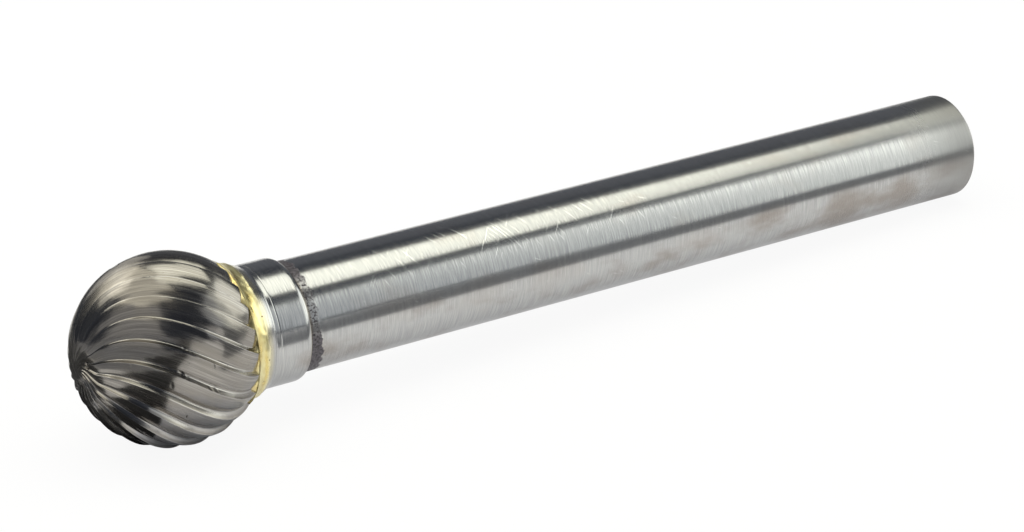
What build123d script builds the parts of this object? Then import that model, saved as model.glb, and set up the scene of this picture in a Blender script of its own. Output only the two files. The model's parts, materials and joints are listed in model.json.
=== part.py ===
from build123d import *
import math
import os

os.makedirs("parts", exist_ok=True)

# Carbide burr, ball shape: a fluted carbide ball brazed to a ground steel shank.
# Lengths are in millimetres and angles in degrees. "Along" is measured down the
# tool from the centre of the ball: the tip is minus, the shank end is plus.

overall_length = 56.8

# Ball
ball_diameter = 10.16
back_diameter = 7.86        # flat back face, across the crests
tip_angle = 3.0             # the crests stop this far from the tip, leaving a small flat
tooth_count = 20
tooth_depth = 0.38          # at the widest part; it shrinks with the ball
rake_lean = 2.2             # how far the gullet lies in front of its crest
helix_angle = 34.6          # right hand, at the widest part
tooth_clocking = -1.52      # turns the ball so that two crests share the floor
section_count = 12

# Braze
braze_film = 0.10           # between the flat faces
braze_width = 0.75          # along the tool, from the ball to the steel
braze_stand = 0.03          # how far it stands out of the crests

# Shank, neck and collar
shank_diameter = 6.0
collar_step = 0.32          # the collar stands out of the shank
collar_length = 2.18
collar_face = 0.04          # flat left on the rear face behind the rounded rim
neck_step = 0.30            # the neck stands out of the collar where it meets the braze
neck_length = 0.65
neck_bevel = 0.70           # holds the wedge of braze
groove_width = 0.10
groove_depth = 0.04
groove_spacing = 0.32
end_chamfer = 0.30

# Sizes that follow
ball_radius = ball_diameter / 2
back_radius = back_diameter / 2
shank_radius = shank_diameter / 2
collar_radius = shank_radius + collar_step
neck_radius = collar_radius + neck_step

head_back = math.sqrt(ball_radius**2 - back_radius**2)
shank_front = head_back + braze_film
neck_front = head_back + braze_width
collar_front = neck_front + neck_length
collar_end = collar_front + collar_length
shank_end = overall_length - ball_radius

back_angle = 180 - math.degrees(math.asin(back_radius / ball_radius))
tooth_pitch = 360 / tooth_count
turn_per_mm = math.degrees(math.tan(math.radians(helix_angle)) / ball_radius)


def crest_angle(tooth, along):
    """Where one crest is round the tool: 0 is the top, 180 the bottom."""
    first = 180 + tooth_clocking + tooth_pitch / 2
    return first + tooth * tooth_pitch + turn_per_mm * along


def ball_reach(lean):
    """How far the lowest crest is below the centre of the ball, the tool leaning."""
    reach = 0
    for step in range(600, 1201):
        polar = math.radians(step / 10)
        along = -ball_radius * math.cos(polar)
        out = ball_radius * math.sin(polar)
        for tooth in (-2, -1, 0, 1):
            turn = math.radians(crest_angle(tooth, along) - 180)
            down = out * math.cos(turn) * math.cos(lean) + along * math.sin(lean)
            reach = max(reach, down)
    return reach


# The tool lies on two crests of the ball and on the rim of the shank end,
# so its axis falls a little towards the shank end.
rim_along = shank_end - end_chamfer
lean = 0
for turn in range(6):
    fall = ball_reach(lean) - shank_radius * math.cos(lean)
    lean = math.asin(fall / rim_along)

end_x = shank_end * math.cos(lean) + (shank_radius - end_chamfer) * math.sin(lean)
tool = Plane(
    origin=((ball_radius - end_x) / 2, 0, ball_reach(lean)),
    x_dir=(math.sin(lean), 0, math.cos(lean)),
    z_dir=(math.cos(lean), 0, -math.sin(lean)),
)
tool_axis = Axis(tool.origin, tool.z_dir)
# Profile plane of the turned pieces: x is along the tool, y is out from its axis.
profile = Plane(origin=tool.origin, x_dir=tool.z_dir, z_dir=-tool.y_dir)


def tooth_outline(polar):
    """Saw-tooth outline of the ball at one polar angle, and how far along it lies."""
    along = -ball_radius * math.cos(math.radians(polar))
    crest_radius = ball_radius * math.sin(math.radians(polar))
    gullet_radius = crest_radius * (1 - tooth_depth / ball_radius)
    points = []
    for tooth in range(tooth_count):
        crest = math.radians(crest_angle(tooth, along))
        gullet = math.radians(crest_angle(tooth + 1, along) - rake_lean)
        points.append((crest_radius * math.cos(crest), crest_radius * math.sin(crest)))
        points.append((gullet_radius * math.cos(gullet), gullet_radius * math.sin(gullet)))
    return along, points


# Ball: right-hand helical saw teeth, a steep face and a long back to each, lofted
# through turned and scaled outlines so that they close in on the tip.
with BuildPart() as carbide_head:
    for section in range(section_count):
        share = section / (section_count - 1)
        along, points = tooth_outline(tip_angle + share * (back_angle - tip_angle))
        with BuildSketch(tool.offset(along)):
            with BuildLine():
                Polyline(*points, close=True)
            make_face()
    loft()
carbide_head.part.label = "carbide_head"
export_step(carbide_head.part, "parts/carbide_head.step")

# Braze: a thin film between the faces and a wedge of filler round the joint.
with BuildPart() as braze_joint:
    with BuildSketch(profile):
        with BuildLine():
            Polyline(
                (head_back, 0),
                (head_back, back_radius + braze_stand),
                (neck_front, neck_radius),
                (shank_front, neck_radius - neck_bevel),
                (shank_front, 0),
                close=True,
            )
        make_face()
    revolve(axis=tool_axis)
braze_joint.part.label = "braze_joint"
export_step(braze_joint.part, "parts/braze_joint.step")

# Shank: bevelled front for the braze, neck cone, collar with two fine turned
# grooves and a rounded rear rim, then the plain ground shank.
with BuildPart() as shank:
    with BuildSketch(profile):
        with BuildLine():
            Polyline(
                (shank_front, 0),
                (shank_front, neck_radius - neck_bevel),
                (neck_front, neck_radius),
                (collar_front, collar_radius),
                (collar_end, collar_radius),
                (collar_end, shank_radius),
                (shank_end, shank_radius),
                (shank_end, 0),
                close=True,
            )
        make_face()
    revolve(axis=tool_axis)

    rims = shank.edges().filter_by(GeomType.CIRCLE).sort_by(tool_axis)
    chamfer(rims[-1], length=end_chamfer)

    rims = shank.edges().filter_by(GeomType.CIRCLE).sort_by(tool_axis)
    collar_rims = rims.filter_by_position(tool_axis, collar_end - 0.01, collar_end + 0.01)
    fillet(collar_rims.sort_by(SortBy.RADIUS)[-1], radius=collar_step - collar_face)

    with BuildSketch(profile):
        for groove in (0, 1):
            middle = collar_front + groove_width / 2 + groove * groove_spacing
            with BuildLine():
                Polyline(
                    (middle - groove_width / 2, collar_radius + groove_depth),
                    (middle + groove_width / 2, collar_radius + groove_depth),
                    (middle, collar_radius - groove_depth),
                    close=True,
                )
            make_face()
    revolve(axis=tool_axis, mode=Mode.SUBTRACT)
shank.part.label = "shank"
export_step(shank.part, "parts/shank.step")
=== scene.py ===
import json
import math

import bpy
import numpy as np
from mathutils import Matrix, Vector


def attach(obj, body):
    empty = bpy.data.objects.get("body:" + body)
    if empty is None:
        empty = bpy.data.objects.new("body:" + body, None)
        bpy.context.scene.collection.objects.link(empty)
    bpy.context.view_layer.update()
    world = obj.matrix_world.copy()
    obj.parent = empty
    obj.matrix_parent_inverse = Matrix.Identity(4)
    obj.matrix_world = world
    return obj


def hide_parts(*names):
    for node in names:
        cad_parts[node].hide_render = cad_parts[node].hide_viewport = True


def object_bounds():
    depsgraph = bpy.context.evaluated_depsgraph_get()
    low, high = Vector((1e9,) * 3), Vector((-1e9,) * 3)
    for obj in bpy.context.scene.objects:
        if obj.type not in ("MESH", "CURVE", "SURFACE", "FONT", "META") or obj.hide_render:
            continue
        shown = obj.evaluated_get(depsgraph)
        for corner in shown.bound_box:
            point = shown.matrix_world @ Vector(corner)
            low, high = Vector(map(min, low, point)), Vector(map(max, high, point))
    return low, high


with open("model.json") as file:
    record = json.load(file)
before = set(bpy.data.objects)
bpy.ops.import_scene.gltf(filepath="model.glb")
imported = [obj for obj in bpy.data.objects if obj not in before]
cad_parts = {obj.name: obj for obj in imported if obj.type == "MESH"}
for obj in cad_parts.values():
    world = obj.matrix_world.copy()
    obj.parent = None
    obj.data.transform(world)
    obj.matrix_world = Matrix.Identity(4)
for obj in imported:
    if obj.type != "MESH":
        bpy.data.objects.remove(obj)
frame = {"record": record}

# Ball-shaped carbide burr: a fluted carbide ball, its ring of braze and a ground
# steel shank, lying on a pale floor. Sizes of the tool are in millimetres.
# "along" is in millimetres down the tool from the centre of the ball, the tip minus.
# "angle" is in degrees round the tool: 0 on top, 90 at the front (-Y), 180 underneath.
# "polar" is in degrees over the ball from its tip.

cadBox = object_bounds()
scene = bpy.context.scene
mm = 0.001
random = np.random.default_rng(7)
sharpAngle = 48.0                      # degrees; edges sharper than this stay crisp
roundTool = 20.0                       # roughly the millimetres round the tool

# The tool's own frame, from the mount on the shank
mountToBall = 29.11                    # from the middle of the plain shank to the ball

shankMount = frame["record"]["mounts"][0]
toolAxis = np.array(shankMount["axis"]) / np.linalg.norm(shankMount["axis"])
toolUp = np.array((-toolAxis[2], 0.0, toolAxis[0]))
toolFront = np.array((0.0, -1.0, 0.0))
ballCentre = np.array(shankMount["pos_m"]) - toolAxis * mountToBall * mm


def outward(angle):
    turn = np.radians(angle)[..., None]
    return np.cos(turn) * toolUp + np.sin(turn) * toolFront


def smoothStep(value, low, high):
    share = np.clip((value - low) / (high - low), 0.0, 1.0)
    return share * share * (3.0 - 2.0 * share)


def waves(angle, along, size, count=24):
    # smooth random waves about `size` mm long that close up round the tool
    total = np.zeros(np.broadcast(angle, along).shape)
    for _ in range(count):
        turns = random.integers(-1, 2) * round(random.uniform(0.4, 1.6) * roundTool / size)
        perMm = random.uniform(-1.3, 1.3) / size
        total += np.sin(np.radians(angle) * turns + 2 * math.pi * (along * perMm + random.random()))
    return total / math.sqrt(count)


def skinRings(name, rings, grain):
    # rings is rows x columns x 3; grain is rows x (columns + 1) x 2, in millimetres:
    # first across the grinding marks, then along them
    rows, columns = rings.shape[:2]
    here = np.arange(columns)
    nextOne = (here + 1) % columns
    rowStart = (np.arange(rows - 1) * columns)[:, None]
    quads = np.stack([rowStart + here, rowStart + nextOne,
                      rowStart + columns + nextOne, rowStart + columns + here], -1)
    lastRing = (rows - 1) * columns
    firstCentre = np.full(columns, rows * columns)
    lastCentre = firstCentre + 1
    firstCap = np.stack([firstCentre, nextOne, here], -1)
    lastCap = np.stack([lastCentre, lastRing + here, lastRing + nextOne], -1)

    points = np.vstack([rings.reshape(-1, 3), rings[0].mean(0), rings[-1].mean(0)])
    faces = quads.reshape(-1, 4).tolist() + firstCap.tolist() + lastCap.tolist()
    mesh = bpy.data.meshes.new(name)
    mesh.from_pydata(points.tolist(), [], faces)

    left, right = grain[:, :-1], grain[:, 1:]
    quadGrain = np.stack([left[:-1], right[:-1], right[1:], left[1:]], 2).reshape(-1, 2)
    firstGrain = np.stack([(left[0] + right[0]) / 2, right[0], left[0]], 1).reshape(-1, 2)
    lastGrain = np.stack([(left[-1] + right[-1]) / 2, left[-1], right[-1]], 1).reshape(-1, 2)
    layer = mesh.uv_layers.new(name="grain")
    layer.data.foreach_set("uv", np.vstack([quadGrain, firstGrain, lastGrain]).ravel())

    mesh.shade_smooth()
    mesh.set_sharp_from_angle(angle=math.radians(sharpAngle))
    mesh.update()
    piece = bpy.data.objects.new(name, mesh)
    scene.collection.objects.link(piece)
    return piece


def newMaterial(name):
    material = bpy.data.materials.new(name)
    material.use_nodes = True
    tree = material.node_tree
    tree.nodes.clear()
    output = tree.nodes.new("ShaderNodeOutputMaterial")
    return material, tree, output


def node(tree, kind, inputs=None, **settings):
    made = tree.nodes.new(kind)
    for key, value in settings.items():
        setattr(made, key, value)
    for key, value in (inputs or {}).items():
        if isinstance(value, bpy.types.NodeSocket):
            tree.links.new(value, made.inputs[key])
        else:
            made.inputs[key].default_value = value
    return made


def calc(tree, operation, a, b=0.0, c=0.0):
    return node(tree, "ShaderNodeMath", {0: a, 1: b, 2: c}, operation=operation).outputs[0]


def times(tree, first, *others):
    for other in others:
        first = calc(tree, "MULTIPLY", first, other)
    return first


def larger(tree, a, b):
    return calc(tree, "MAXIMUM", a, b)


def fade(tree, value, low, high, start=0.0, end=1.0):
    # goes smoothly from start to end while the value goes from low to high
    inputs = {"Value": value, "From Min": low, "From Max": high, "To Min": start, "To Max": end}
    return node(tree, "ShaderNodeMapRange", inputs, interpolation_type="SMOOTHSTEP").outputs[0]


def tint(tree, factor, a, b):
    # colour a, turning into colour b as the factor goes to 1
    made = node(tree, "ShaderNodeMix", {0: factor}, data_type="RGBA")
    for slot, value in ((6, a), (7, b)):
        if isinstance(value, bpy.types.NodeSocket):
            tree.links.new(value, made.inputs[slot])
        else:
            made.inputs[slot].default_value = (*value, 1.0)
    return made.outputs[2]


def readGrain(tree):
    # the grain itself, how far across the grinding marks, and how far along them
    grain = node(tree, "ShaderNodeUVMap", uv_map="grain").outputs[0]
    parts = node(tree, "ShaderNodeSeparateXYZ", {0: grain})
    return grain, parts.outputs[0], parts.outputs[1]


def grainNoise(tree, grain, across, along, detail, shift=0.0):
    # `across` and `along` are lumps per millimetre each way; `shift` picks another stretch of noise
    settings = {"Vector": grain, "Scale": (across, along, 1.0), "Location": (shift, 0.37 * shift, shift)}
    moved = node(tree, "ShaderNodeMapping", settings).outputs[0]
    noise = node(tree, "ShaderNodeTexNoise", {"Vector": moved, "Scale": 1.0, "Detail": detail})
    return noise.outputs["Fac"]


def scratchMarks(tree, grain, turn, across, along, amount, shift):
    # short fine scratches that run `turn` degrees off the grinding marks
    settings = {"Vector": grain, "Angle": math.radians(turn)}
    turned = node(tree, "ShaderNodeVectorRotate", settings, rotation_type="Z_AXIS").outputs[0]
    return fade(tree, grainNoise(tree, turned, across, along, 1.0, shift), amount, amount + 0.05)


def finishMetal(tree, output, looks, height, bumpStrength, bumpDepth):
    # the tangent spreads the highlights of brushed metal across its grinding marks
    relief = {"Strength": bumpStrength, "Distance": bumpDepth * mm, "Height": height}
    bump = node(tree, "ShaderNodeBump", relief)
    across = node(tree, "ShaderNodeTangent", direction_type="UV_MAP", uv_map="grain")
    facing = {"Normal": bump.outputs[0], "Tangent": across.outputs[0]}
    metal = node(tree, "ShaderNodeBsdfPrincipled", {**looks, **facing})
    tree.links.new(metal.outputs[0], output.inputs[0])


# Carbide ball
head = {
    "radius": 5.08,
    "teeth": 20,
    "tipPolar": 1.6,                   # the rim of the small flat at the tip
    "backPolar": 129.3,                # the flat back, across the crests
    "firstCrest": 187.48,              # angle of crest 0 at the widest part
    "turnPerMm": 7.78,                 # right-hand helix
    "tipTwistPolar": 20.0,             # inside this the crests wrap further round the tip
    "tipTwist": 0.184,
    "toothDepth": 0.33,
    "depthTaper": 0.9,                 # shallower towards the tip
    "depthSpread": 0.05,               # teeth differ in depth by about this share
    "teethGrow": (1.0, 9.0),           # polar: from nothing to their depth
    "teethSquare": (60.0, 100.0),      # polar: from cut into the ball to cut towards the axis
    "ripple": 0.0025,                  # unevenness left by the wheel
    "rippleLength": 0.7,
    "rippleGrows": (6.0, 20.0),        # polar
    # one tooth from its crest down the back, through the gullet and up the next rake face:
    # share of the pitch, share of the depth
    "toothShape": [
        (0.0, 0.0), (0.012, 0.006), (0.03, 0.015), (0.07, 0.037), (0.15, 0.10), (0.25, 0.195),
        (0.35, 0.30), (0.45, 0.415), (0.55, 0.545), (0.65, 0.69), (0.72, 0.80), (0.765, 0.87),
        (0.80, 0.915), (0.825, 0.94), (0.85, 0.94), (0.875, 0.87), (0.90, 0.715), (0.925, 0.53),
        (0.95, 0.35), (0.975, 0.175), (0.99, 0.065),
    ],
    "rows": 196,
    "nickWidth": 0.08,
    # nicks along the cutting edges: tooth and share of a pitch, polar, length, depth
    "nicks": [
        (14.88, 72.0, 0.13, 0.07), (14.92, 75.2, 0.07, 0.05), (14.95, 88.5, 0.12, 0.035),
        (14.90, 92.5, 0.07, 0.04), (13.90, 76.5, 0.15, 0.07), (13.93, 79.4, 0.07, 0.05),
        (14.05, 92.0, 0.05, 0.04), (15.47, 65.2, 0.10, 0.015), (15.99, 109.4, 0.16, 0.05),
        (16.46, 74.9, 0.07, 0.13), (18.75, 55.9, 0.12, 0.04), (15.77, 11.2, 0.12, 0.14),
        (15.10, 12.4, 0.10, 0.10), (3.0, 60.0, 0.18, 0.08), (6.9, 95.0, 0.14, 0.07),
        (9.0, 70.0, 0.20, 0.08), (10.9, 112.0, 0.15, 0.06),
    ],
    "darkGrey": (0.245, 0.231, 0.218),
    "lightGrey": (0.43, 0.408, 0.378),
    "shadeGrey": (0.205, 0.19, 0.178),
    "brown": (0.31, 0.285, 0.25),
    # painted highlight: the lighter grey painted along the gullets and cutting edges
    "gulletEdgeHighlight": (0.47, 0.455, 0.44),
    "pit": (0.05, 0.045, 0.045),
    "roughness": (0.17, 0.25),
    "brushing": 0.5,
    "bumpDepth": 0.0028,
}


def nickDrop(toothPlace, polar, pitchWidth):
    # how far the nicks lower each point: a flat floor along the edge, round across it
    teeth = head["teeth"]
    mmPerDegree = head["radius"] * math.pi / 180
    drop = 0.0
    for nickPlace, nickPolar, nickLength, nickDepth in head["nicks"]:
        aside = (toothPlace - nickPlace + teeth / 2) % teeth - teeth / 2
        away = (polar - nickPolar) * mmPerDegree / nickLength
        drop = drop + nickDepth * np.exp(-(away ** 4) * 4.0 - (aside * pitchWidth / head["nickWidth"]) ** 2)
    return drop


def makeHead():
    radius = head["radius"]
    pitch = 360.0 / head["teeth"]
    mmPerDegree = radius * math.pi / 180
    shape = np.array(head["toothShape"])
    tooth, place = np.divmod(np.arange(head["teeth"] * len(shape)), len(shape))
    share, toothDrop = shape[place].T
    polar = np.linspace(head["tipPolar"], head["backPolar"], head["rows"])[:, None]
    outFrom = np.sin(np.radians(polar))                      # distance from the axis, in radii

    along = -radius * np.cos(np.radians(polar))
    twist = -head["tipTwist"] * np.maximum(head["tipTwistPolar"] - polar, 0.0) ** 2
    angle = head["firstCrest"] + (tooth + share) * pitch + head["turnPerMm"] * along + twist

    wander = random.normal(0.0, 1.0, head["teeth"])[tooth]
    depth = head["toothDepth"] * outFrom ** head["depthTaper"] * (1.0 + head["depthSpread"] * wander)
    drop = depth * smoothStep(polar, *head["teethGrow"]) * toothDrop
    drop = drop + nickDrop(tooth + share, polar, pitch * outFrom * mmPerDegree)
    ripple = waves(angle, along, head["rippleLength"]) * smoothStep(polar, *head["rippleGrows"])
    drop = drop + head["ripple"] * ripple

    normal = outward(angle) * outFrom[..., None] - np.cos(np.radians(polar))[..., None] * toolAxis
    square = smoothStep(polar, *head["teethSquare"])[..., None]
    inward = normal * (1.0 - square) + outward(angle) * square
    inward /= np.linalg.norm(inward, axis=-1, keepdims=True)
    rings = ballCentre + mm * (radius * normal - np.maximum(drop, 0.0)[..., None] * inward)

    acrossMarks = np.append(tooth + share, head["teeth"]) * pitch * mmPerDegree
    grain = np.stack(np.broadcast_arrays(acrossMarks, polar * mmPerDegree), -1)
    return skinRings("carbideHead", rings, grain)


def carbideMaterial():
    material, tree, output = newMaterial("groundCarbide")
    grain, across, _ = readGrain(tree)
    fine = grainNoise(tree, grain, 15.0, 0.30, 4.0)          # the wheel's marks
    broad = grainNoise(tree, grain, 5.0, 0.22, 3.0, 11.0)    # bands of them
    cloud = grainNoise(tree, grain, 0.45, 0.35, 3.0, 23.0)
    pits = fade(tree, grainNoise(tree, grain, 6.0, 6.0, 1.0, 31.0), 0.76, 0.82)

    # painted highlight: gullets and cutting edges are painted a lighter grey, standing in for the bright
    # lines of light along them
    toothWidth = math.radians(360.0 / head["teeth"]) * head["radius"]
    share = calc(tree, "FRACT", calc(tree, "DIVIDE", across, toothWidth))
    gullet = times(tree, fade(tree, share, 0.81, 0.87), fade(tree, share, 0.97, 0.91))
    edge = larger(tree, fade(tree, share, 0.985, 0.998), fade(tree, share, 0.03, 0.01))
    gulletEdgeHighlight = times(tree, larger(tree, gullet, edge), fade(tree, broad, 0.25, 0.55, 0.35, 0.8))

    colour = tint(tree, fade(tree, fine, 0.30, 0.70), head["darkGrey"], head["lightGrey"])
    colour = tint(tree, fade(tree, broad, 0.35, 0.65, 0.0, 0.55), colour, head["shadeGrey"])
    colour = tint(tree, fade(tree, cloud, 0.42, 0.66, 0.0, 0.6), colour, head["brown"])
    colour = tint(tree, gulletEdgeHighlight, colour, head["gulletEdgeHighlight"])
    colour = tint(tree, pits, colour, head["pit"])
    rough = fade(tree, fine, 0.3, 0.7, *head["roughness"])
    rough = calc(tree, "ADD", rough, fade(tree, cloud, 0.4, 0.7, -0.02, 0.05))
    height = calc(tree, "ADD", fine, times(tree, broad, 3.0))
    height = calc(tree, "SUBTRACT", height, times(tree, pits, 2.0))
    looks = {"Base Color": colour, "Roughness": rough, "Metallic": 1.0, "Anisotropic": head["brushing"]}
    finishMetal(tree, output, looks, height, 0.5, head["bumpDepth"])
    return material


# Braze ring
braze = {
    "headBack": 3.22,                  # along: the flat back of the ball
    "headBackRadius": 3.93,
    "neckFront": 3.97,                 # along: where the steel starts
    "neckRadius": 3.62,
    "neckSlope": -0.46,                # radius lost per mm down the neck
    "start": 0.55,                     # how far in front of the ball's back it starts, out of sight
    "innerRadius": 3.0,
    "stand": 0.035,                    # over the crests
    "creep": 0.32,                     # how far it runs up the flutes
    "creepDrop": 0.2604,               # ... and how much lower it lies there
    "fluteDepth": 0.03,                # under the crests at the ball's back
    "film": 0.012,                     # over the neck
    "filmEnd": 4.02,
    "lumpHeight": 0.007,
    "lumpLength": 0.55,
    "runLength": 1.1,                  # how far apart it creeps further and less far
    "rows": 44,
    "columns": 320,
    "darkBrass": (0.76, 0.62, 0.25),
    "lightBrass": (0.92, 0.84, 0.48),
    "headBrass": (0.74, 0.61, 0.31),
    "neckBrass": (0.88, 0.84, 0.62),
    "speck": (0.16, 0.10, 0.05),
    "roughness": (0.26, 0.42),
    "bumpDepth": 0.01,
}


def makeBraze():
    headBack, neckFront, neckRadius = braze["headBack"], braze["neckFront"], braze["neckRadius"]
    start, end = headBack - braze["start"], braze["filmEnd"] + 0.15
    along = np.concatenate([[start], np.linspace(start + 0.1, end - 0.05, braze["rows"]), [end]])[:, None]
    angle = np.linspace(0.0, 360.0, braze["columns"], endpoint=False)
    lumps = waves(angle, along, braze["lumpLength"])
    runs = waves(angle, along * 0.0, braze["runLength"])

    # up the flutes, then a hollow fillet down to the neck, then a thin film along it
    ball = np.sqrt(head["radius"] ** 2 - along ** 2)
    creep = braze["creep"] * (1.0 + 0.35 * runs)
    flute = ball - braze["fluteDepth"] - braze["creepDrop"] * (headBack - along) / creep
    share = np.clip((along - headBack) / (neckFront - headBack), 0.0, 1.0)
    step = braze["headBackRadius"] + braze["stand"] - neckRadius - braze["film"]
    fillet = neckRadius + braze["film"] + step * (1.0 - share) ** 1.9
    neck = neckRadius + braze["neckSlope"] * (along - neckFront)
    film = neck + braze["film"] - 0.30 * np.maximum(along - braze["filmEnd"] - 0.05 * runs, 0.0)
    radius = np.where(along < headBack, flute, np.where(along < neckFront, fillet, film))
    radius = radius + braze["lumpHeight"] * lumps
    radius[0], radius[-1] = braze["innerRadius"], braze["innerRadius"]
    rings = ballCentre + mm * (along[..., None] * toolAxis + radius[..., None] * outward(angle))

    around = np.append(angle, 360.0) * braze["headBackRadius"] * math.pi / 180
    grain = np.stack(np.broadcast_arrays(along, around), -1)
    return skinRings("brazeRing", rings, grain)


def brazeMaterial():
    material, tree, output = newMaterial("brassBraze")
    grain, along, _ = readGrain(tree)
    blotch = grainNoise(tree, grain, 2.2, 0.9, 3.0)
    fine = grainNoise(tree, grain, 14.0, 4.0, 3.0, 5.0)
    specks = fade(tree, grainNoise(tree, grain, 5.0, 5.0, 1.0, 17.0), 0.72, 0.78)
    colour = tint(tree, fade(tree, blotch, 0.35, 0.65), braze["darkBrass"], braze["lightBrass"])
    colour = tint(tree, fade(tree, along, 3.3, 2.95), colour, braze["headBrass"])
    colour = tint(tree, fade(tree, along, 3.80, 4.05, 0.0, 0.6), colour, braze["neckBrass"])
    colour = tint(tree, specks, colour, braze["speck"])
    rough = fade(tree, blotch, 0.3, 0.7, *braze["roughness"])
    height = calc(tree, "ADD", times(tree, blotch, 3.0), calc(tree, "SUBTRACT", fine, specks))
    looks = {"Base Color": colour, "Roughness": rough, "Metallic": 1.0}
    finishMetal(tree, output, looks, height, 0.6, braze["bumpDepth"])
    return material


# Steel shank with its neck and collar
shank = {
    "radius": 3.0,
    "end": 51.72,                      # along: the far end
    "endChamfer": 0.30,
    "collarEnd": 6.80,
    "collarRadius": 3.32,
    "rimRound": 0.29,
    "rimLength": 0.42,                 # the rim is rounded further along than down
    "grooves": (4.54, 4.88),           # along: two fine turned lines on the collar
    "grooveDepth": 0.012,
    "grooveWidth": 0.08,
    "scaleEnd": 7.36,                  # along: ragged edge of the scale behind the collar
    "scaleThick": 0.006,
    "scaleLumps": 0.0015,
    "detailEnd": 8.4,                  # along: rows are close together up to here
    "faceRings": (2.3, 1.8, 1.3, 0.8, 0.3),
    "columns": 288,
    "darkSteel": (0.44, 0.44, 0.445),
    "lightSteel": (0.57, 0.57, 0.565),
    # painted shade: the darker blue-grey of the brushing streaks, painted strongest in a belt along the
    # front
    "brushedAndShaded": (0.34, 0.345, 0.36),
    "warmSteel": (0.44, 0.40, 0.37),
    "brassTinge": (0.66, 0.60, 0.40),
    "stain": (0.30, 0.262, 0.235),
    "dullEnd": (0.29, 0.285, 0.28),
    "tarnish": (0.25, 0.215, 0.16),
    "scratch": (0.78, 0.78, 0.77),
    "lightScale": (0.15, 0.138, 0.155),
    "darkScale": (0.06, 0.054, 0.060),
    "roughness": (0.18, 0.25),
    "brushing": 0.65,
    "bumpDepth": 0.0013,
}


def collarRadius(along):
    neck = braze["neckRadius"] + braze["neckSlope"] * (along - braze["neckFront"])
    radius = max(neck, shank["collarRadius"])
    for groove in shank["grooves"]:
        radius -= shank["grooveDepth"] * max(0.0, 1.0 - abs(along - groove) * 2 / shank["grooveWidth"])
    return radius


def shankOutline():
    # (along, radius) from inside the braze to the far end; close together where there is detail
    front, radius, end = braze["neckFront"], shank["radius"], shank["end"]
    rim, rimRound, rimLength = shank["collarEnd"], shank["rimRound"], shank["rimLength"]
    firstGroove, lastGroove = shank["grooves"]
    chamferStart, chamferRadius = end - shank["endChamfer"], radius - shank["endChamfer"]

    onCollar = np.concatenate([
        np.linspace(front + 0.05, firstGroove - 0.06, 9),
        np.linspace(firstGroove - 0.05, lastGroove + 0.07, 44),
        np.linspace(lastGroove + 0.1, rim - rimLength - 0.05, 18),
    ])
    outline = [(front - 0.5, 2.9), (front, braze["neckRadius"] - 0.01)]
    outline += [(s, collarRadius(s)) for s in onCollar]
    for turn in np.radians(np.linspace(0.0, 90.0, 11)):
        rimRadius = shank["collarRadius"] - rimRound * (1 - math.cos(turn))
        outline.append((rim - rimLength * (1 - math.sin(turn)), rimRadius))
    outline += [(rim + 0.004, radius + 0.012), (rim + 0.03, radius)]
    outline += [(s, radius) for s in np.linspace(rim + 0.06, shank["detailEnd"], 30)]
    outline += [(s, radius) for s in np.linspace(shank["detailEnd"] + 0.2, chamferStart - 0.1, 96)]
    outline += [(chamferStart - 0.02, radius), (chamferStart + 0.02, radius - 0.008)]
    outline += [(end - 0.02, chamferRadius + 0.012), (end, chamferRadius - 0.01)]
    outline += [(end, r) for r in shank["faceRings"]]
    return np.array(outline)


def makeShank():
    outline = shankOutline()
    along, radius = outline[:, :1], outline[:, 1:]
    angle = np.linspace(-180.0, 180.0, shank["columns"], endpoint=False)

    # the scale stands a little proud, and reaches further back low on the front
    lowDown = np.clip((angle - 90) / 60, 0, 1)
    edge = shank["scaleEnd"] + 0.10 * waves(angle, 0.0 * angle, 1.6) + 0.25 * lowDown
    crust = smoothStep(along, edge, edge - 0.08) * (along > shank["collarEnd"] + 0.01)
    radius = radius + crust * (shank["scaleThick"] + shank["scaleLumps"] * waves(angle, along, 0.3))
    rings = ballCentre + mm * (along[..., None] * toolAxis + radius[..., None] * outward(angle))

    # the grain runs on over the far face, so that its grinding marks are rings
    faceRadius = shank["radius"] - shank["endChamfer"]
    overFace = np.where(along >= shank["end"], faceRadius - np.minimum(radius, faceRadius), 0.0)
    around = np.append(angle, 180.0) * shank["radius"] * math.pi / 180
    grain = np.stack(np.broadcast_arrays((along + overFace)[:, :1], around), -1)
    return skinRings("steelShank", rings, grain)


def steelScratches(tree, grain, along, around, cloud):
    # fine scratches: a scatter everywhere, longer ones on top behind the collar
    worn = times(tree, fade(tree, along, 9.5, 12.0), fade(tree, along, 30.0, 26.0),
                 fade(tree, around, 0.4, 0.9), fade(tree, around, 3.4, 2.8))
    scatter = scratchMarks(tree, grain, 62.0, 10.0, 0.9, 0.72, 3.0)
    scatter = times(tree, scatter, fade(tree, cloud, 0.46, 0.60), 0.6)
    oneWay = scratchMarks(tree, grain, 28.0, 12.0, 0.38, 0.655, 9.0)
    otherWay = scratchMarks(tree, grain, 145.0, 12.0, 0.45, 0.69, 15.0)
    return larger(tree, scatter, times(tree, larger(tree, oneWay, otherWay), worn))


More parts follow.
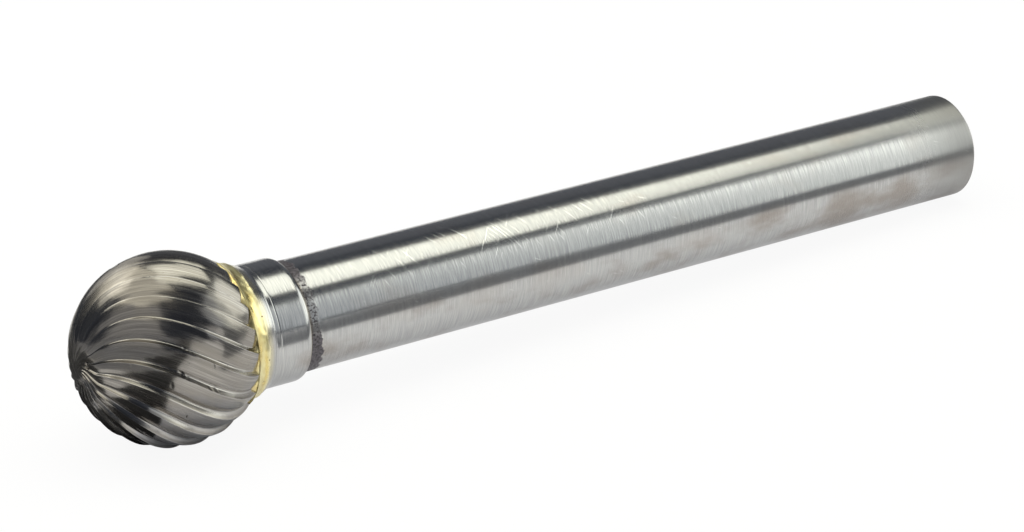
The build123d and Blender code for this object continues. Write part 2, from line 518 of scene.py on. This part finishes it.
def steelScale(tree, grain, along, around, crumbs):
    # scale left by brazing behind the collar: solid above and below, a thin veil at the front
    rim = shank["collarEnd"]
    below = fade(tree, around, 4.8, 6.8)
    ragged = calc(tree, "MULTIPLY_ADD", grainNoise(tree, grain, 2.4, 1.8, 6.0, 19.0), 0.9, along)
    edge = calc(tree, "MULTIPLY_ADD", below, 0.25, shank["scaleEnd"] + 0.44)
    solid = fade(tree, calc(tree, "SUBTRACT", ragged, edge), 0.05, -0.05)
    front = times(tree, fade(tree, around, 1.2, 2.0), fade(tree, around, 5.0, 4.3))
    specks = fade(tree, crumbs, 0.50, 0.60)
    veil = times(tree, front, fade(tree, specks, 0.0, 1.0, 0.60, 0.0))
    solid = times(tree, solid, calc(tree, "SUBTRACT", 1.0, veil))
    spots = times(tree, fade(tree, crumbs, 0.64, 0.68), fade(tree, along, 8.3, 7.7), below)
    return times(tree, larger(tree, solid, spots), fade(tree, along, rim - 0.06, rim - 0.02))


def steelMaterial():
    # along is in mm down the tool; around is in mm from the top: 4.7 at the front, 9.4 underneath
    material, tree, output = newMaterial("groundSteel")
    grain, along, around = readGrain(tree)
    rim = shank["collarEnd"]
    fine = grainNoise(tree, grain, 30.0, 0.55, 4.0)
    streaks = grainNoise(tree, grain, 16.0, 0.75, 3.0, 7.0)
    quiet = fade(tree, along, 18.0, 38.0, 1.0, 0.40)         # smoother towards the far end
    streaks = calc(tree, "MULTIPLY_ADD", calc(tree, "SUBTRACT", streaks, 0.5), quiet, 0.5)
    cloud = grainNoise(tree, grain, 0.22, 0.35, 4.0, 13.0)
    crumbs = grainNoise(tree, grain, 8.0, 7.0, 6.0, 29.0)
    marks = steelScratches(tree, grain, along, around, cloud)
    scale = steelScale(tree, grain, along, around, crumbs)

    # brown stains low on the front, the dull end, and a tarnished line at the collar's rim
    blotch = grainNoise(tree, grain, 0.32, 0.55, 5.0, 41.0)
    stain = calc(tree, "MULTIPLY_ADD", fade(tree, along, 24.0, 48.0), 0.16, blotch)
    stain = times(tree, fade(tree, stain, 0.46, 0.80),
                  fade(tree, around, 3.9, 4.9), fade(tree, around, 8.6, 7.0))
    dull = fade(tree, calc(tree, "MULTIPLY_ADD", cloud, 3.5, along), 47.6, 53.6)
    tarnish = times(tree, fade(tree, along, rim - 0.20, rim - 0.10),
                    fade(tree, along, rim + 0.18, rim + 0.04))

    # the brushing streaks are real grain, but with painted shade they are painted darker and bluer in a belt
    # along the front, where the steel lies in dim reflected light
    shadedBelt = times(tree, fade(tree, around, 1.5, 2.3), fade(tree, around, 4.6, 3.9))
    shadedBelt = calc(tree, "MULTIPLY_ADD", shadedBelt, 0.36, 0.20)      # painted shade: streaks painted darkest in a belt along the front
    brushedAndShaded = times(tree, fade(tree, streaks, 0.36, 0.64), shadedBelt)
    steel = tint(tree, fade(tree, fine, 0.3, 0.7), shank["darkSteel"], shank["lightSteel"])
    steel = tint(tree, brushedAndShaded, steel, shank["brushedAndShaded"])
    steel = tint(tree, fade(tree, cloud, 0.5, 0.72, 0.0, 0.35), steel, shank["warmSteel"])
    steel = tint(tree, fade(tree, along, 4.5, 4.0, 0.0, 0.8), steel, shank["brassTinge"])
    steel = tint(tree, times(tree, stain, 0.75), steel, shank["stain"])
    steel = tint(tree, times(tree, dull, 0.75), steel, shank["dullEnd"])
    steel = tint(tree, times(tree, tarnish, 0.75), steel, shank["tarnish"])
    steel = tint(tree, marks, steel, shank["scratch"])
    crust = tint(tree, fade(tree, crumbs, 0.40, 0.62), shank["lightScale"], shank["darkScale"])

    rough = fade(tree, streaks, 0.3, 0.7, *shank["roughness"])
    rough = calc(tree, "MULTIPLY_ADD", dull, 0.16, rough)
    rough = calc(tree, "MULTIPLY_ADD", stain, 0.05, rough)
    rough = larger(tree, rough, times(tree, scale, 0.48))
    height = calc(tree, "ADD", fine, times(tree, streaks, 0.3))
    height = calc(tree, "SUBTRACT", height, times(tree, marks, 1.8))
    looks = {
        "Base Color": tint(tree, scale, steel, crust), "Roughness": rough,
        "Metallic": fade(tree, scale, 0.0, 1.0, 1.0, 0.6), "Anisotropic": shank["brushing"],
    }
    bumpStrength = fade(tree, along, 18.0, 40.0, 0.5, 0.25)
    finishMetal(tree, output, looks, height, bumpStrength, shank["bumpDepth"])
    return material


# Floor, room and cards
stage = {
    "reach": 4.0,                      # metres of floor each way
    "floorTone": 0.88,
    "floorGlow": 0.92,                 # share of the floor's own white that the camera sees
    "floorGlowInMetal": 0.49,          # ... and that reflections see
    "background": 1.0,
    "roomLight": 0.060,                # the dark room round the soft boxes
    "roomColour": (0.86, 0.98, 1.25),
    "cardTint": (1.0, 1.03, 1.15),
    "cardLift": 0.0002,                # metres from the floor up to the first card
    "cardGap": 0.0001,                 # ... and from each card up to the next
}


def ovalCorners(x, y, halfX, halfY, count=24):
    turns = [2 * math.pi * i / count for i in range(count)]
    return [(x + halfX * math.cos(turn), y + halfY * math.sin(turn)) for turn in turns]


# Cards flat on the floor that only the metal sees: tone, and corners in metres.
# Each lies over the ones before it.
floorCards = {
    "underBallCard": (0.85, ovalCorners(-0.0240, -0.0018, 0.0046, 0.0050)),
    "shankCard": (0.17, [(-0.0195, -0.0125), (0.45, -0.0125), (0.60, -0.40), (0.185, -0.40)]),
    # painted shadow: a dark card where the ball's shadow falls on the floor to its front-left, seen only in
    # the metal
    "ballShadowCard": (0.04, [
        (-0.0285, 0.0035), (-0.0305, 0.0), (-0.035, -0.0045), (-0.039, -0.012), (-0.045, -0.030),
        (-0.16, -0.40), (-0.09, -0.40), (-0.031, -0.030), (-0.0295, -0.011), (-0.0268, -0.0038),
        (-0.0252, 0.0), (-0.0245, 0.003),
    ]),
    # painted shadow under and behind the tip, where the ball's shadow falls; further back-left the same card
    # darkens the floor seen in the metal
    "tipShadowAndBackCard": (0.05, [
        (-0.0245, 0.0034), (-0.0285, 0.0038), (-0.0308, 0.001), (-0.036, 0.001), (-0.060, 0.020),
        (-0.25, 0.20), (-0.06, 0.30), (-0.027, 0.013), (-0.0230, 0.0060),
    ]),
    "leftCard": (0.27, [
        (-0.0365, 0.0005), (-0.0355, -0.0045), (-0.0395, -0.012), (-0.0455, -0.030), (-0.165, -0.40),
        (-0.40, -0.40), (-0.40, 0.27), (-0.2505, 0.20), (-0.0605, 0.0195),
    ]),
}

# Soft boxes in metres; level 1 is as bright as white paper
softboxes = {
    "overheadBox": {
        "place": (0.15, 0.015, 0.45), "size": (0.447, 0.315), "aim": (0.15, 0.015, 0.0), "turn": -10.0,
        "level": 2.05, "colour": (1.0, 1.0, 0.86),
    },
    "overheadLeftBox": {
        "place": (-0.26, 0.03, 0.45), "size": (0.37, 0.56), "aim": (-0.26, 0.03, 0.0),
        "level": 1.1, "colour": (1.0, 0.96, 0.80),
    },
    "rightBox": {
        "place": (0.363, -0.126, 0.172), "size": (0.34, 0.344), "aim": (0.010, 0.062, 0.172),
        "level": 2.0, "colour": (0.98, 1.0, 0.92),
    },
    "rightMiddleBox": {
        "place": (0.259, -0.322, 0.1925), "size": (0.104, 0.385), "aim": (-0.094, -0.134, 0.1925),
        "level": 1.15, "colour": (0.97, 1.0, 0.93),
    },
    "rightSideBox": {
        "place": (0.192, -0.4485, 0.215), "size": (0.182, 0.37), "aim": (-0.161, -0.261, 0.215),
        "level": 0.60, "colour": (0.95, 0.99, 1.0),
    },
    "backBox": {
        "place": (0.35, 0.40, 0.20), "size": (0.60, 0.40), "aim": (0.0, 0.0, 0.10),
        "level": 0.085, "colour": (1.0, 1.0, 1.0),
    },
    "backLeftBox": {
        "place": (-0.215, 0.274, 0.372), "size": (0.45, 0.22), "aim": (-0.023, 0.0, 0.005),
        "level": 1.4, "colour": (1.0, 0.98, 0.86),
    },
    "backTopBox": {
        "place": (-0.030, 0.114, 0.068), "size": (0.075, 0.06), "aim": (-0.023, 0.0, 0.008),
        "level": 0.8, "colour": (1.0, 0.98, 0.90),
    },
    "leftBox": {
        "place": (-0.3855, -0.169, 0.235), "size": (0.42, 0.43), "aim": (-0.023, 0.0, 0.235),
        "level": 0.42, "colour": (1.0, 0.98, 0.93),
    },
    "fillBox": {
        "place": (0.0, 0.0, 1.0), "size": (1.2, 1.2), "aim": (0.0, 0.0, 0.0),
        "level": 1.2, "colour": (1.0, 0.99, 0.98), "inMetal": False,
    },
}

# Camera: place and aim in millimetres, roll in degrees, lens in millimetres
view = {
    "place": (-86.708, -136.818, 70.616),
    "aim": (0.535, 4.635, 1.482),
    "roll": -3.88,
    "lens": 112.12,
}


def flatSheet(name, corners, height, material):
    # a level polygon that belongs to the stage
    mesh = bpy.data.meshes.new(name)
    mesh.from_pydata([(x, y, height) for x, y in corners], [], [tuple(range(len(corners)))])
    mesh.materials.append(material)
    sheet = bpy.data.objects.new(name, mesh)
    scene.collection.objects.link(sheet)
    return sheet


def makeFloor():
    material, tree, output = newMaterial("paleFloor")
    tone = stage["floorTone"]
    matte = node(tree, "ShaderNodeBsdfPrincipled", {"Base Color": (tone, tone, tone, 1.0), "Roughness": 0.9})
    white = node(tree, "ShaderNodeEmission", {"Color": (1.0, 1.0, 1.0, 1.0), "Strength": 1.0})
    path = node(tree, "ShaderNodeLightPath")
    inMetal = larger(tree, path.outputs["Is Glossy Ray"], path.outputs["Is Transmission Ray"])
    inMetal = times(tree, inMetal, stage["floorGlowInMetal"])
    glow = calc(tree, "MULTIPLY_ADD", path.outputs["Is Camera Ray"], stage["floorGlow"], inMetal)
    mixed = node(tree, "ShaderNodeMixShader", {0: glow, 1: matte.outputs[0], 2: white.outputs[0]})
    tree.links.new(mixed.outputs[0], output.inputs[0])
    reach = stage["reach"]
    corners = [(-reach, -reach), (reach, -reach), (reach, reach), (-reach, reach)]
    flatSheet("floor", corners, cadBox[0][2], material)


def makeFloorCards():
    for order, (name, (tone, corners)) in enumerate(floorCards.items()):
        material, tree, output = newMaterial(name)
        colour = [tone * share for share in stage["cardTint"]] + [1.0]
        matte = node(tree, "ShaderNodeBsdfPrincipled", {"Base Color": colour, "Roughness": 1.0})
        tree.links.new(matte.outputs[0], output.inputs[0])
        height = cadBox[0][2] + stage["cardLift"] + stage["cardGap"] * order
        card = flatSheet(name, corners, height, material)
        card.visible_camera = False
        card.visible_diffuse = False
        card.visible_shadow = False


def makeLights():
    for name, box in softboxes.items():
        lamp = bpy.data.lights.new(name, "AREA")
        lamp.shape = "RECTANGLE"
        lamp.size, lamp.size_y = box["size"]
        lamp.color = box["colour"]
        lamp.energy = box["level"] * math.pi * lamp.size * lamp.size_y       # watts for that level
        light = bpy.data.objects.new(name, lamp)
        light.location = box["place"]
        facing = (Vector(box["aim"]) - light.location).to_track_quat("-Z", "Y").to_matrix()
        turn = Matrix.Rotation(math.radians(box.get("turn", 0.0)), 3, "Z")
        light.rotation_euler = (facing @ turn).to_euler()
        light.visible_camera = False
        light.visible_glossy = box.get("inMetal", True)
        scene.collection.objects.link(light)


def makeRoom():
    world = bpy.data.worlds.new("studio")
    world.use_nodes = True
    tree = world.node_tree
    room = tree.nodes["Background"]
    room.inputs[0].default_value = (*stage["roomColour"], 1.0)
    room.inputs[1].default_value = stage["roomLight"]
    white = {"Color": (1.0, 1.0, 1.0, 1.0), "Strength": stage["background"]}
    backdrop = node(tree, "ShaderNodeBackground", white)
    path = node(tree, "ShaderNodeLightPath")
    mixed = node(tree, "ShaderNodeMixShader",
                 {0: path.outputs["Is Camera Ray"], 1: room.outputs[0], 2: backdrop.outputs[0]})
    tree.links.new(mixed.outputs[0], tree.nodes["World Output"].inputs[0])
    scene.world = world


def makeCamera():
    lens = bpy.data.cameras.new("camera")
    lens.sensor_width = 36.0
    lens.lens = view["lens"]
    lens.clip_start, lens.clip_end = 0.01, 20.0
    camera = bpy.data.objects.new("camera", lens)
    forward = (Vector(view["aim"]) - Vector(view["place"])).normalized()
    level = forward.to_track_quat("-Z", "Y").to_matrix()
    roll = Matrix.Rotation(math.radians(view["roll"]), 3, "Z")
    camera.matrix_world = Matrix.Translation(Vector(view["place"]) * mm) @ (level @ roll).to_4x4()
    scene.collection.objects.link(camera)
    scene.camera = camera


scene.view_settings.view_transform = "Standard"
makeCamera()
makeLights()
makeRoom()
makeFloor()
makeFloorCards()
print("stage, light and camera are set")

for make, material, cadNode, slot in (
    (makeHead, carbideMaterial, "carbide_head", "carbide"),
    (makeBraze, brazeMaterial, "braze_joint", "braze"),
    (makeShank, steelMaterial, "shank", "steel"),
):
    piece = make()
    piece.data.materials.append(material())
    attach(piece, "root")
    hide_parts(cadNode)
    print(piece.name, "is made:", len(piece.data.vertices), "points")
